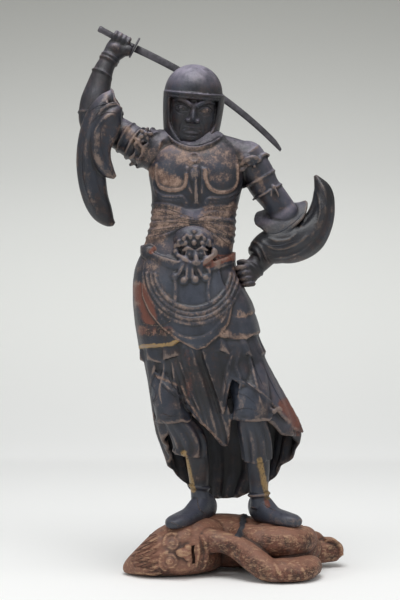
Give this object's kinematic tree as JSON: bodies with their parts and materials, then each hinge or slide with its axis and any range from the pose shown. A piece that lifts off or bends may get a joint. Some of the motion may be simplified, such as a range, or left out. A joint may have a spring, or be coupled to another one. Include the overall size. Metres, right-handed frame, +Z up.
{
  "type": "buddhist guardian statue",
  "caption": "Carved standing guardian in armour and robe, sword raised overhead and fist on hip, treading on a crouched demon.",
  "frame": {"origin": "centre of the bounding box at the underside of the demon base", "axes": "+X to the viewer's right, +Y away from the viewer, +Z up; the figure faces -Y"},
  "size_m": [0.4633, 0.2534, 0.939],
  "materials": {
    "lacquered_wood": "aged blue-black lacquer over carved wood, worn to ochre ground and gilding",
    "demon_wood": "reddish-brown worn carved wood",
    "grip_wood": "dark aged wood",
    "sword_metal": "dark satin"
  },
  "bodies": {
    "root": {"guardian_figure": "lacquered_wood", "demon_base": "demon_wood", "sword_grip": "grip_wood", "sword_guard": "sword_metal", "sword_blade": "sword_metal"}
  },
  "joints": []
}
